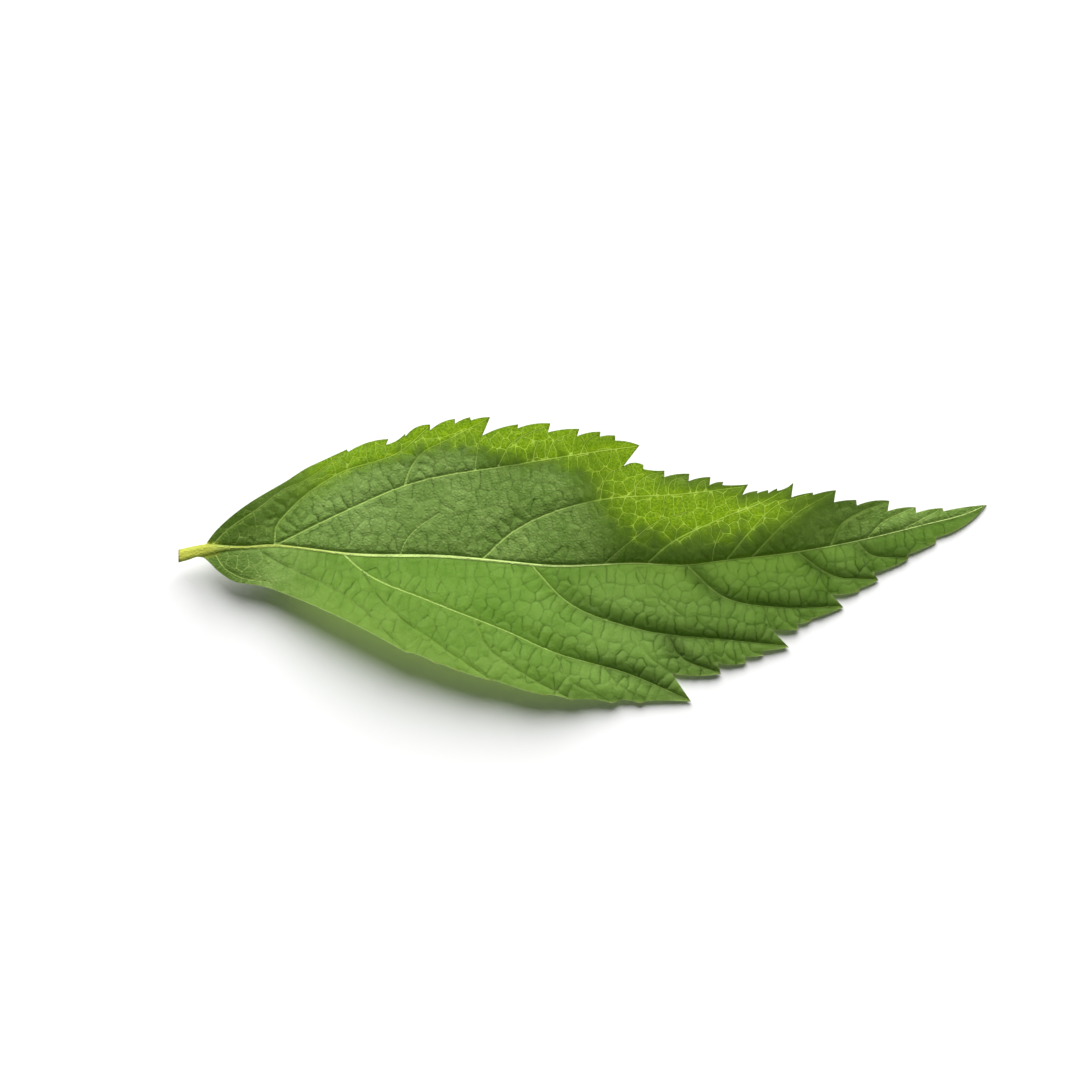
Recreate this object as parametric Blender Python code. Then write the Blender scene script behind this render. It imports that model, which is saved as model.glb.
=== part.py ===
"""One cut leaf lying face up: a doubly toothed blade with a long drawn-out tip, a midrib, arching
side veins with the blade puffed up between them, and a short cut stalk. It is one solid.

The plan is given in millimetres from the middle of the stalk's cut end: x runs to the leaf's tip and
y across the blade, with the wide upper half at +y. The heights come from formulas over that plan.
"""

import bpy
import numpy as np
from mathutils import Vector, kdtree
from mathutils.geometry import delaunay_2d_cdt

MM = 0.001

# Thickness of the blade and of the ribs that stand out from it
BLADE_THICKNESS = 0.6
RIB_SHOULDER = 0.45
RIB_START = 0.7
RIB_END = 98.5
SHOULDER_END = 95
RIB_HALF_WIDTH = [(0, 0.75), (3.4, 0.75), (8, 0.6), (30, 0.5), (55, 0.46), (101, 0.45)]
RIB_ON_TOP = [(0, 0.45), (3.4, 0.45), (9, 0.2), (45, 0.12), (60, 0), (101, 0)]
RIB_BELOW = [(0, 0.45), (3.4, 0.45), (45, 0.4), (75, 0.25), (101, 0.05)]
VEIN_BELOW = 0.2
VEIN_REACH = 0.6

# Facets: their size, how far the fill keeps from the drawn lines, and how close two lines may come
FACET = 1.0
CLEAR_OF_LINES = 0.56
LINE_GAP = 0.4
FILL_LENGTH = 104
FILL_HALF_WIDTH = 20
MARK_STEP = 0.25
SLOPE_STEP = 0.2
TINY = 1e-7

# The blade's edge: the smooth run up to the first tooth, then for each tooth the notch behind it, its
# tip, and how far its back bows out as a share of its length
STALK_ABOVE = [(0.0, 0.8), (1.3, 1.1), (2.5, 1.35)]
RUN_ABOVE = [(3.4, 1.5), (4.3, 2.75), (6.0, 4.45), (8.6, 6.45), (11.2, 8.05), (13.2, 9.2), (16.0, 11.0),
             (18.0, 11.95), (20.9, 13.3)]
TEETH_ABOVE = [
    (21.1, 13.0, 26.1, 14.6, 0.07), (25.8, 13.9, 28.2, 15.3, -0.08), (28.2, 14.9, 31.3, 16.4, 0.13),
    (31.3, 15.7, 34.4, 17.1, 0.08), (34.4, 16.5, 36.3, 17.3, 0.05), (36.4, 16.9, 38.8, 17.3, 0.05),
    (37.8, 15.0, 42.3, 16.4, 0.05), (42.2, 15.9, 46.3, 16.5, 0.06), (46.0, 15.4, 49.9, 15.8, 0.04),
    (49.6, 14.9, 52.5, 15.4, 0.06), (52.4, 14.8, 54.3, 14.9, 0.05), (54.3, 14.3, 57.3, 13.7, 0.05),
    (55.3, 11.1, 57.8, 11.3, 0.15), (57.8, 10.8, 60.4, 10.6, -0.04), (60.4, 9.8, 63.5, 10.2, 0.05),
    (63.4, 9.3, 66.1, 9.8, 0.05), (66.0, 8.8, 67.7, 9.2, 0.08), (67.6, 8.8, 70.8, 8.9, -0.02),
    (70.1, 7.6, 72.0, 8.1, 0.05), (71.9, 7.8, 73.3, 8.2, 0.03), (73.3, 7.8, 74.4, 8.4, 0.03),
    (74.4, 8.1, 76.4, 9.1, -0.08), (76.2, 7.3, 78.9, 7.9, 0.03), (78.9, 7.6, 81.8, 8.2, 0.03),
    (81.6, 6.7, 84.4, 7.0, 0.03), (84.5, 6.3, 88.6, 6.9, 0.07), (88.4, 5.6, 91.9, 6.1, 0.05),
    (92.0, 5.4, 95.3, 6.0, 0.04), (95.4, 5.6, 100.8, 6.4, 0.02),
]
STALK_BELOW = [(0.0, -0.8), (1.3, -0.45), (2.4, -0.1)]
RUN_BELOW = [(3.1, -0.2), (3.7, -0.7), (4.8, -1.8), (6.5, -3.0), (10.6, -3.8), (15.0, -5.4), (19.6, -7.4),
             (22.5, -8.8), (28.4, -12.0)]
TEETH_BELOW = [
    (28.9, -12.0, 32.0, -13.4, -0.04), (32.5, -13.4, 34.6, -14.3, -0.03), (35.0, -14.3, 39.0, -15.5, 0.02),
    (39.4, -15.5, 43.5, -16.9, 0.0), (43.8, -16.9, 45.6, -17.4, 0.0), (46.0, -17.3, 48.9, -18.0, -0.05),
    (49.3, -17.9, 54.1, -18.4, -0.05), (54.8, -18.0, 57.5, -18.4, -0.07), (58.5, -18.1, 63.9, -18.2, -0.02),
    (61.4, -14.6, 67.6, -14.7, 0.05), (67.1, -13.3, 70.8, -13.3, 0.08), (70.5, -12.5, 72.9, -12.4, 0.05),
    (72.6, -11.9, 76.1, -11.4, 0.01), (73.8, -9.1, 77.3, -9.2, 0.04), (77.1, -8.4, 78.8, -8.1, 0.08),
    (78.9, -7.8, 82.9, -6.4, 0.02), (81.4, -4.8, 84.9, -4.4, 0.05), (84.9, -4.0, 87.3, -3.0, 0.03),
    (86.6, -2.1, 91.0, -0.4, 0.04), (90.9, 0.2, 94.5, 1.7, 0.02), (94.4, 2.3, 100.8, 6.4, 0.09),
]

# The midrib's course over the plan, and the side veins that leave it or branch from each other
MIDRIB = [(0, 0), (1.3, 0.35), (3.4, 0.8), (8.8, 1.1), (11.9, 1.3), (15.0, 1.0), (20.6, 0.3), (33.8, -0.1),
          (41.3, -0.8), (45.6, -1.2), (57.5, -0.9), (63.4, -1.1), (67.5, -0.6), (77.5, 0.6), (84.6, 1.9),
          (92.5, 3.8), (98.8, 5.5), (100.8, 6.4)]
VEINS_ABOVE = [
    [(11.9, 1.4), (12.1, 3.6), (14.0, 6.0), (19.5, 10.1), (27.9, 13.3), (31.0, 16.0)],
    [(12.0, 1.4), (20.6, 5.6), (28.1, 8.8), (42.5, 11.5), (50.0, 12.7), (57.0, 13.6)],
    [(28.1, 8.9), (28.8, 10.9), (29.9, 12.5), (33.8, 14.7), (38.3, 17.0)],
    [(37.9, -0.3), (41.3, 2.8), (47.5, 5.8), (52.5, 7.0), (62.5, 7.7), (70.3, 8.6)],
    [(58.6, -0.7), (60.6, 1.1), (67.3, 4.6), (73.8, 7.3), (76.0, 8.7)],
    [(68.4, -0.3), (71.0, 2.9), (74.4, 6.3), (78.4, 7.7)],
    [(71.5, 0.0), (76.9, 5.3), (81.4, 7.9)],
    [(81.3, 1.4), (82.5, 3.9), (84.5, 5.3), (88.2, 6.7)],
]
VEINS_BELOW = [
    [(9.8, 0.8), (12.5, -0.8), (18.8, -3.8), (21.5, -5.5), (28.0, -11.6)],
    [(20.6, 0.1), (22.8, -1.8), (31.3, -5.6), (41.4, -9.6), (46.0, -11.7), (56.6, -14.9), (63.4, -17.9)],
    [(22.8, -1.9), (24.8, -4.9), (33.1, -11.5), (38.5, -15.1)],
    [(36.8, -8.1), (38.4, -11.1), (42.5, -14.4), (48.4, -17.6)],
    [(44.1, -1.3), (48.3, -5.6), (56.9, -9.0), (68.8, -10.5), (75.6, -11.2)],
    [(61.0, -9.9), (62.3, -12.3), (67.1, -14.5)],
    [(63.4, -1.2), (67.8, -5.0), (75.0, -6.4), (82.4, -6.3)],
    [(77.1, 0.5), (81.8, -2.5), (86.8, -2.9)],
    [(84.6, 1.8), (86.0, 0.4), (90.5, -0.3)],
]

# Form of the blade: the midrib's height along the leaf, and for each half its slope (rise over run)
# beside the midrib and beyond a bend, how far the bend lies from the midrib, and how far the blade is
# puffed up between the veins
MIDRIB_HEIGHT = [(0, 5.2), (3.4, 4.6), (12, 2.9), (20, 1.7), (28, 1.0), (36, 1.1), (55, 1.9), (65, 2.1),
                 (80, 1.6), (92, 0.9), (101, 0.4)]
INNER_SLOPE_ABOVE = [(0, 0.2), (5, 0.45), (10, 0.3), (15, 0.1), (25, 0.06), (38, 0.08), (45, 0.12), (50, 0.2),
                     (53, 0.4), (57, 0.7), (62, 0.82), (68, 0.85), (73, 0.75), (78, 0.5), (84, 0.25), (101, 0.0)]
OUTER_SLOPE_ABOVE = [(0, 0.2), (5, 0.5), (10, 0.5), (15, 0.52), (25, 0.6), (45, 0.78), (50, 0.88), (56, 0.92),
                     (62, 1.0), (68, 1.0), (73, 0.85), (78, 0.55), (84, 0.3), (101, 0.0)]
BEND_ABOVE = [(0, 3), (12, 3), (14, 4.9), (19.5, 9.4), (27, 12.4), (33, 13.2), (37, 13.2), (40, 12.2), (44, 12.5),
              (48, 12.6), (50, 12.0), (52, 9.3), (54, 5.0), (56, 2.8), (60, 1.8), (66, 1.5), (101, 1.5)]
PUFF_ABOVE = [(0, 0), (10, 0.2), (30, 0.4), (70, 0.5), (85, 0.4), (101, 0)]
INNER_SLOPE_BELOW = [(0, 0.1), (5, 0.0), (10, 0.15), (15, 0.33), (20, 0.42), (27, 0.36), (32, 0.29), (37, 0.22),
                     (42, 0.15), (47, 0.07), (52, -0.02), (57, -0.09), (63, -0.13), (75, -0.14), (86, -0.17),
                     (101, -0.1)]
OUTER_SLOPE_BELOW = [(0, -0.3), (5, -0.3), (10, 0.1), (15, 0.45), (20, 0.56), (27, 0.42), (32, 0.31), (37, 0.23),
                     (42, 0.16), (47, 0.07), (52, -0.03), (57, -0.1), (63, -0.13), (75, -0.14), (86, -0.17),
                     (101, -0.1)]
BEND_BELOW = [(0, 2), (101, 2)]
PUFF_BELOW = [(0, 0), (10, 0.15), (35, 0.35), (46, 1.0), (58, 1.25), (75, 1.2), (88, 0.6), (101, 0)]
BEND_SOFTNESS = 0.5
# Towards the tip the upper half's curves run aslant with the side veins, by this much for each
# millimetre away from the midrib
SLANT_ABOVE = [(0, 0), (55, 0), (62, 0.4), (70, 0.9), (78, 1.0), (101, 1.0)]
# A puff drops fast to the vein on its lower side, climbs slowly from the vein on its upper side, and
# ends at the edge of the blade
DROP_REACH = 1.2
CLIMB_REACH = 3.2
EDGE_REACH = 1.2
PUFF_SHARPNESS = 1.4
QUILT_PUFF = 0.16

# What the leaf lies on: a flat spot under the midrib, one tooth of the lower half and the leaf's tip
REST_SPOT = (29.3, 0.05)
REST_RADIUS = 0.8
REST_REACH = 1.3
REST_TOOTH = (63.9, -18.2)
TIP = (100.8, 6.4)

LEAF_GREEN = (0.17, 0.31, 0.055, 1.0)
LEAF_ROUGHNESS = 0.5


def along(knots, place):
    """Read the smooth curve through knots of (place, value) at each place."""
    places, values = np.array(knots, float).T
    slopes = np.gradient(values, places)
    i = np.clip(np.searchsorted(places, place) - 1, 0, len(places) - 2)
    gap = places[i + 1] - places[i]
    t = np.clip((place - places[i]) / gap, 0, 1)
    start = (1 + 2 * t) * (1 - t) ** 2 * values[i] + t * (1 - t) ** 2 * gap * slopes[i]
    end = t**2 * (3 - 2 * t) * values[i + 1] - t**2 * (1 - t) * gap * slopes[i + 1]
    return start + end


def smooth_path(points, step):
    """Points about one step apart on the smooth curve through a few given points."""
    points = np.array(points, float)
    length = np.r_[0, np.cumsum(np.hypot(*np.diff(points, axis=0).T))]
    places = np.linspace(0, length[-1], max(2, round(length[-1] / step) + 1))
    return np.c_[along(np.c_[length, points[:, 0]], places), along(np.c_[length, points[:, 1]], places)]


def bowed(start, end, bow, side, step):
    """Points from start to end, without the start, bowed to one side by a share of the length."""
    run = np.array(end) - start
    count = max(1, round(np.hypot(*run) / step))
    t = np.linspace(0, 1, count + 1)[1:, None]
    return start + t * run + 4 * bow * side * t * (1 - t) * np.array([-run[1], run[0]])


def edge_line(stalk, run, teeth, side):
    """One side of the outline from the cut end to the leaf's tip; side is 1 above and -1 below."""
    points = [np.array(stalk, float), smooth_path(run, FACET)]
    here = points[-1][-1]
    for notch_x, notch_y, tip_x, tip_y, bow in teeth:
        front = bowed(here, (notch_x, notch_y), 0, side, FACET)
        back = bowed(front[-1], (tip_x, tip_y), bow, side, FACET)
        points += [front, back]
        here = back[-1]
    return np.vstack(points)


def outline():
    """The whole outline as a loop that runs anticlockwise seen from above."""
    below = edge_line(STALK_BELOW, RUN_BELOW, TEETH_BELOW, -1)
    above = edge_line(STALK_ABOVE, RUN_ABOVE, TEETH_ABOVE, 1)
    cut_end = np.array([(0.0, RIB_SHOULDER), (0.0, 0.0), (0.0, -RIB_SHOULDER)])
    return np.vstack([below, above[-2::-1], cut_end])


def rib_lines():
    """The midrib's crest and its two shoulders, then every side vein, as lines of points."""
    rib = smooth_path(MIDRIB, FACET)
    across = np.gradient(rib, axis=0) @ np.array([[0, 1], [-1, 0]])
    across /= np.hypot(*across.T)[:, None]
    inside = (rib[:, 0] > RIB_START) & (rib[:, 0] < RIB_END)
    lines = [rib[inside]]
    for side in (-1, 1):
        lines.append((rib + side * RIB_SHOULDER * across)[inside & (rib[:, 0] < SHOULDER_END)])
    return lines, [smooth_path(vein, FACET) for vein in VEINS_ABOVE + VEINS_BELOW]


def nearest(points, targets):
    """Distance from each point to the nearest target, both in the plan."""
    tree = kdtree.KDTree(len(targets))
    for i, (x, y) in enumerate(targets):
        tree.insert((x, y, 0), i)
    tree.balance()
    return np.array([tree.find((x, y, 0))[2] for x, y in points])


def inside_loop(points, loop):
    """Which points lie inside a closed loop."""
    x, y = points[:, :1], points[:, 1:]
    ax, ay = loop.T
    bx, by = np.roll(loop, -1, axis=0).T
    crosses = (ay > y) != (by > y)
    at = ax + (y - ay) * (bx - ax) / np.where(by == ay, TINY, by - ay)
    return (crosses & (x < at)).sum(axis=1) % 2 == 1


def quilt_points(fixed, loop):
    """A triangular lattice of points clear of the fixed ones; every second point of every second row
    is the crest of a small puff, and the points between are its creases."""
    rows = np.arange(-FILL_HALF_WIDTH, FILL_HALF_WIDTH + 2)
    columns = np.arange(0, FILL_LENGTH)
    row, column = np.meshgrid(rows, columns, indexing="ij")
    x = (column + 0.5 * (row % 2)) * FACET
    points = np.c_[x.ravel(), (row * FACET * np.sqrt(0.75)).ravel()]
    crest = ((row % 2 == 0) & ((column + row // 2) % 2 == 0)).ravel()
    keep = inside_loop(points, loop)
    keep[keep] = nearest(points[keep], fixed) > CLEAR_OF_LINES * FACET
    return points[keep], crest[keep]


def plan_mesh():
    """Split the outline into triangles along the midrib, the veins and the quilting."""
    loop = outline()
    ribs, veins = rib_lines()
    rib_points = np.vstack(ribs)
    lines = list(ribs)
    for vein in veins:
        clear = inside_loop(vein, loop) & (nearest(vein, np.vstack([rib_points, loop])) > LINE_GAP)
        if len(lines) > len(ribs):
            clear &= nearest(vein, np.vstack(lines)) > LINE_GAP
        lines.append(vein[clear])
    fixed = np.vstack([loop] + lines)
    lattice, crest = quilt_points(fixed, loop)
    points = np.vstack([fixed, lattice])
    edges = [(i, (i + 1) % len(loop)) for i in range(len(loop))]
    first = len(loop)
    for line in lines:
        edges += [(i, i + 1) for i in range(first, first + len(line) - 1)]
        first += len(line)
    flat, _, faces, origins, _, _ = delaunay_2d_cdt([Vector(p) for p in points], edges, [], 1, TINY)
    is_crest = [any(i >= len(fixed) and crest[i - len(fixed)] for i in origin) for origin in origins]
    return np.array([tuple(v) for v in flat]), np.array(faces), np.array(is_crest)


def strand_marks():
    """Closely spaced points along the midrib and along the side veins, to measure distances from."""
    rib = smooth_path(MIDRIB, MARK_STEP)
    return rib, np.vstack([smooth_path(vein, MARK_STEP) for vein in VEINS_ABOVE + VEINS_BELOW])


def by_side(place, offset, above, below):
    """Read one curve over the upper half of the leaf and another over the lower half."""
    return np.where(offset > 0, along(above, place), along(below, place))


def strand_distances(points, strands):
    """Distance from each point to the nearest strand on its lower side, and on its upper side."""
    far = float(FILL_LENGTH)
    lower_side, upper_side = np.full(len(points), far), np.full(len(points), far)
    for mark_x, mark_y in strands.tolist():
        away = np.hypot(points[:, 0] - mark_x, points[:, 1] - mark_y)
        is_under = points[:, 1] >= mark_y
        lower_side = np.where(is_under, np.minimum(lower_side, away), lower_side)
        upper_side = np.where(is_under, upper_side, np.minimum(upper_side, away))
    return lower_side, upper_side


def swell(distance, reach):
    """Rises from 0 at no distance to 1 well past the reach."""
    return 1 - np.exp(-((distance / reach) ** PUFF_SHARPNESS))


def middle_height(points, strands, loop):
    """Height of the blade's middle layer over the plan, before it settles on what it lies on."""
    x, y = points.T
    offset = y - along(MIDRIB, x)
    place = x - along(SLANT_ABOVE, x) * np.maximum(offset, 0)
    inner = by_side(place, offset, INNER_SLOPE_ABOVE, INNER_SLOPE_BELOW)
    outer = by_side(place, offset, OUTER_SLOPE_ABOVE, OUTER_SLOPE_BELOW)
    bend = by_side(place, offset, BEND_ABOVE, BEND_BELOW)
    past, at_rib = (BEND_SOFTNESS * np.logaddexp(0, (d - bend) / BEND_SOFTNESS) for d in (np.abs(offset), 0))
    rise = inner * np.abs(offset) + (outer - inner) * (past - at_rib)
    lower_side, upper_side = strand_distances(points, strands)
    puff = by_side(x, offset, PUFF_ABOVE, PUFF_BELOW) * swell(lower_side, DROP_REACH)
    puff *= swell(upper_side, CLIMB_REACH) * swell(nearest(points, loop), EDGE_REACH)
    return along(MIDRIB_HEIGHT, x) + rise + puff


def leaf_surfaces(points, is_crest):
    """Heights of the upper and the lower face over each point of the plan."""
    rib, veins = strand_marks()
    strands, loop = np.vstack([rib, veins]), outline()
    middle = middle_height(points, strands, loop)
    slope = [
        (middle_height(points + step, strands, loop) - middle_height(points - step, strands, loop))
        / (2 * SLOPE_STEP)
        for step in (np.array([SLOPE_STEP, 0]), np.array([0, SLOPE_STEP]))
    ]
    stretch = np.sqrt(1 + slope[0] ** 2 + slope[1] ** 2)
    x = points[:, 0]
    rounding = np.sqrt(np.maximum(0, 1 - (nearest(points, rib) / along(RIB_HALF_WIDTH, x)) ** 2))
    vein_ridge = VEIN_BELOW * np.maximum(0, 1 - nearest(points, veins) / VEIN_REACH)
    vein_ridge *= swell(nearest(points, loop), EDGE_REACH)
    middle = middle + QUILT_PUFF * is_crest
    half = BLADE_THICKNESS / 2 * stretch
    upper = middle + half + along(RIB_ON_TOP, x) * rounding
    lower = middle - half - np.maximum(along(RIB_BELOW, x) * rounding, vein_ridge)
    return settle(points, upper, lower)


def settle(points, upper, lower):
    """Tip the leaf so that the lowest points round its three supports are at height 0, and flatten the
    spot under the midrib."""
    supports = np.array([REST_SPOT, REST_TOOTH, TIP])
    lowest = [lower[np.hypot(*(points - support).T) < REST_REACH].min() for support in supports]
    plane = np.linalg.solve(np.c_[supports, np.ones(3)], lowest)
    under = np.c_[points, np.ones(len(points))] @ plane
    upper, lower = upper - under, np.maximum(lower - under, 0)
    lower[np.hypot(*(points - REST_SPOT).T) < REST_RADIUS] = 0
    return upper, lower


def leaf_mesh():
    """Close the upper and the lower face with a wall round the outline."""
    points, faces, is_crest = plan_mesh()
    a, b, c = (points[faces[:, k]] for k in range(3))
    turned = np.cross(b - a, c - a) < 0
    faces[turned] = faces[turned][:, ::-1]
    upper, lower = leaf_surfaces(points, is_crest)
    centre = (points.min(axis=0) + points.max(axis=0)) / 2
    count = len(points)
    corners = np.vstack([np.c_[points - centre, upper], np.c_[points - centre, lower]]) * MM
    edges = {(f[k], f[(k + 1) % 3]) for f in faces.tolist() for k in range(3)}
    walls = []
    for i, j in sorted(edge for edge in edges if edge[::-1] not in edges):
        walls += [(i, i + count, j + count), (i, j + count, j)]
    triangles = faces.tolist() + (faces[:, ::-1] + count).tolist() + walls
    mesh = bpy.data.meshes.new("leaf")
    mesh.from_pydata(corners.tolist(), [], triangles)
    mesh.shade_smooth()
    mesh.set_sharp_from_angle(angle=np.radians(50))
    return mesh


def leaf_material():
    """Fresh leaf green with a dull natural wax."""
    material = bpy.data.materials.new("fresh_leaf")
    material.use_nodes = True
    shader = material.node_tree.nodes["Principled BSDF"]
    shader.inputs["Base Color"].default_value = LEAF_GREEN
    shader.inputs["Roughness"].default_value = LEAF_ROUGHNESS
    shader.inputs["Metallic"].default_value = 0
    return material


for old in list(bpy.context.scene.objects):
    bpy.data.objects.remove(old)

leaf = bpy.data.objects.new("leaf", leaf_mesh())
leaf.data.materials.append(leaf_material())
bpy.context.scene.collection.objects.link(leaf)
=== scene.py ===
import math

import bpy
import numpy as np
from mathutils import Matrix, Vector, kdtree, noise
from mathutils.geometry import delaunay_2d_cdt


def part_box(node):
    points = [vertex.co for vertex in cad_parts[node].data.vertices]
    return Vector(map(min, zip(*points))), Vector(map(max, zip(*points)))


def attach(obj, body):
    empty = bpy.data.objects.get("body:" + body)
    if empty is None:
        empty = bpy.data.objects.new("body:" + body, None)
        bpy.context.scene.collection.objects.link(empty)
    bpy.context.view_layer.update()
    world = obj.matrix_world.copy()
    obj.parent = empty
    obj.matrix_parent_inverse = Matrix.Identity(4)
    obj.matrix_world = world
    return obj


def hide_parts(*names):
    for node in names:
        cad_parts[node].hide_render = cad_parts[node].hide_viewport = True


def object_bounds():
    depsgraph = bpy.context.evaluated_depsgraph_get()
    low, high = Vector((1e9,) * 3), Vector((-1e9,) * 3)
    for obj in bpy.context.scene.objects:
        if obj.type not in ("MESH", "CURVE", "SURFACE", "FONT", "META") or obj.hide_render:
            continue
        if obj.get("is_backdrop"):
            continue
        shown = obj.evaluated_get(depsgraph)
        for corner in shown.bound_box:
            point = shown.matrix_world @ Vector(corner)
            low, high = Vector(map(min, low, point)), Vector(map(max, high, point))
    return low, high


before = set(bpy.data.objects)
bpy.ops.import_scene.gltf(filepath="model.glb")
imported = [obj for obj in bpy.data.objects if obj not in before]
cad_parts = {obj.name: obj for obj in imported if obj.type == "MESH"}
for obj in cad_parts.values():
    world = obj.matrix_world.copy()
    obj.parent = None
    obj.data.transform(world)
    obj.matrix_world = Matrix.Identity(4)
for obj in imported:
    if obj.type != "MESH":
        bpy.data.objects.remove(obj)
solid_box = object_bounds()


# The margin of the blade
# A fresh leaf's edge, cut by nature into double teeth that all point to the tip. Sizes are
# millimetres over the plan, measured from the middle of the stalk's cut end: x to the leaf's tip.
MM = 0.001
MESH_STEP = 0.22
STALK_ABOVE = [(0.0, 0.8), (1.3, 1.1), (2.5, 1.35)]
RUN_ABOVE = [(3.4, 1.5), (4.3, 2.75), (6.0, 4.45), (8.6, 6.45), (11.2, 8.05), (13.2, 9.2), (16.0, 11.0),
             (18.0, 11.95), (20.9, 13.3)]
# Each tooth: the notch behind it, its tip, and how far its back bows out as a share of its length
TEETH_ABOVE = [
    (21.1, 13.0, 26.1, 14.6, 0.07), (25.8, 13.9, 28.2, 15.3, -0.08), (28.2, 14.9, 31.3, 16.4, 0.13),
    (31.3, 15.7, 34.4, 17.1, 0.08), (34.4, 16.5, 36.3, 17.3, 0.05), (36.4, 16.9, 38.8, 17.3, 0.05),
    (37.8, 15.0, 42.3, 16.4, 0.05), (42.2, 15.9, 46.3, 16.5, 0.06), (46.0, 15.4, 49.9, 15.8, 0.04),
    (49.6, 14.9, 52.5, 15.4, 0.06), (52.4, 14.8, 54.3, 14.9, 0.05), (54.3, 14.3, 57.3, 13.7, 0.05),
    (55.3, 11.1, 57.8, 11.3, 0.15), (57.8, 10.8, 60.4, 10.6, -0.04), (60.4, 9.8, 63.5, 10.2, 0.05),
    (63.4, 9.3, 66.1, 9.8, 0.05), (66.0, 8.8, 67.7, 9.2, 0.08), (67.6, 8.8, 70.8, 8.9, -0.02),
    (70.1, 7.6, 72.0, 8.1, 0.05), (71.9, 7.8, 73.3, 8.2, 0.03), (73.3, 7.8, 74.4, 8.4, 0.03),
    (74.4, 8.1, 76.4, 9.1, -0.08), (76.2, 7.3, 78.9, 7.9, 0.03), (78.9, 7.6, 81.8, 8.2, 0.03),
    (81.6, 6.7, 84.4, 7.0, 0.03), (84.5, 6.3, 88.6, 6.9, 0.07), (88.4, 5.6, 91.9, 6.1, 0.05),
    (92.0, 5.4, 95.3, 6.0, 0.04), (95.4, 5.6, 100.8, 6.4, 0.02),
]
STALK_BELOW = [(0.0, -0.8), (1.3, -0.45), (2.4, -0.1)]
RUN_BELOW = [(3.1, -0.2), (3.7, -0.7), (4.8, -1.8), (6.5, -3.0), (10.6, -3.8), (15.0, -5.4), (19.6, -7.4),
             (22.5, -8.8), (28.4, -12.0)]
TEETH_BELOW = [
    (28.9, -12.0, 32.0, -13.4, -0.04), (32.5, -13.4, 34.6, -14.3, -0.03), (35.0, -14.3, 39.0, -15.5, 0.02),
    (39.4, -15.5, 43.5, -16.9, 0.0), (43.8, -16.9, 45.6, -17.4, 0.0), (46.0, -17.3, 48.9, -18.0, -0.05),
    (49.3, -17.9, 54.1, -18.4, -0.05), (54.8, -18.0, 57.5, -18.4, -0.07), (58.5, -18.1, 63.9, -18.2, -0.02),
    (61.4, -14.6, 67.6, -14.7, 0.05), (67.1, -13.3, 70.8, -13.3, 0.08), (70.5, -12.5, 72.9, -12.4, 0.05),
    (72.6, -11.9, 76.1, -11.4, 0.01), (73.8, -9.1, 77.3, -9.2, 0.04), (77.1, -8.4, 78.8, -8.1, 0.08),
    (78.9, -7.8, 82.9, -6.4, 0.02), (81.4, -4.8, 84.9, -4.4, 0.05), (84.9, -4.0, 87.3, -3.0, 0.03),
    (86.6, -2.1, 91.0, -0.4, 0.04), (90.9, 0.2, 94.5, 1.7, 0.02), (94.4, 2.3, 100.8, 6.4, 0.09),
]


def along(knots, place):
    """Read the smooth curve through knots of (place, value) at each place."""
    places, values = np.array(knots, float).T
    slopes = np.gradient(values, places)
    i = np.clip(np.searchsorted(places, place) - 1, 0, len(places) - 2)
    gap = places[i + 1] - places[i]
    t = np.clip((place - places[i]) / gap, 0, 1)
    start = (1 + 2 * t) * (1 - t) ** 2 * values[i] + t * (1 - t) ** 2 * gap * slopes[i]
    end = t**2 * (3 - 2 * t) * values[i + 1] - t**2 * (1 - t) * gap * slopes[i + 1]
    return start + end


def smooth_path(points, step):
    """Points about one step apart on the smooth curve through a few given points."""
    points = np.array(points, float)
    length = np.r_[0, np.cumsum(np.hypot(*np.diff(points, axis=0).T))]
    places = np.linspace(0, length[-1], max(2, round(length[-1] / step) + 1))
    return np.c_[along(np.c_[length, points[:, 0]], places), along(np.c_[length, points[:, 1]], places)]


def bowed(start, end, bow, side, step):
    """Points from start to end, without the start, bowed to one side by a share of the length."""
    run = np.array(end) - start
    count = max(1, round(np.hypot(*run) / step))
    t = np.linspace(0, 1, count + 1)[1:, None]
    return start + t * run + 4 * bow * side * t * (1 - t) * np.array([-run[1], run[0]])


def edge_line(stalk, run, teeth, side):
    """One side of the margin from the cut end to the leaf's tip; side is 1 above and -1 below."""
    points = [smooth_path(stalk + run[:1], MESH_STEP)[:-1], smooth_path(run, MESH_STEP)]
    here = points[-1][-1]
    for notch_x, notch_y, tip_x, tip_y, bow in teeth:
        front = bowed(here, (notch_x, notch_y), 0, side, MESH_STEP)
        back = bowed(front[-1], (tip_x, tip_y), bow, side, MESH_STEP)
        points += [front, back]
        here = back[-1]
    return np.vstack(points)


below = edge_line(STALK_BELOW, RUN_BELOW, TEETH_BELOW, -1)
above = edge_line(STALK_ABOVE, RUN_ABOVE, TEETH_ABOVE, 1)
cut_end = smooth_path([STALK_ABOVE[0], STALK_BELOW[0]], MESH_STEP)[1:-1]
margin = np.vstack([below, above[-2::-1], cut_end])


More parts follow.
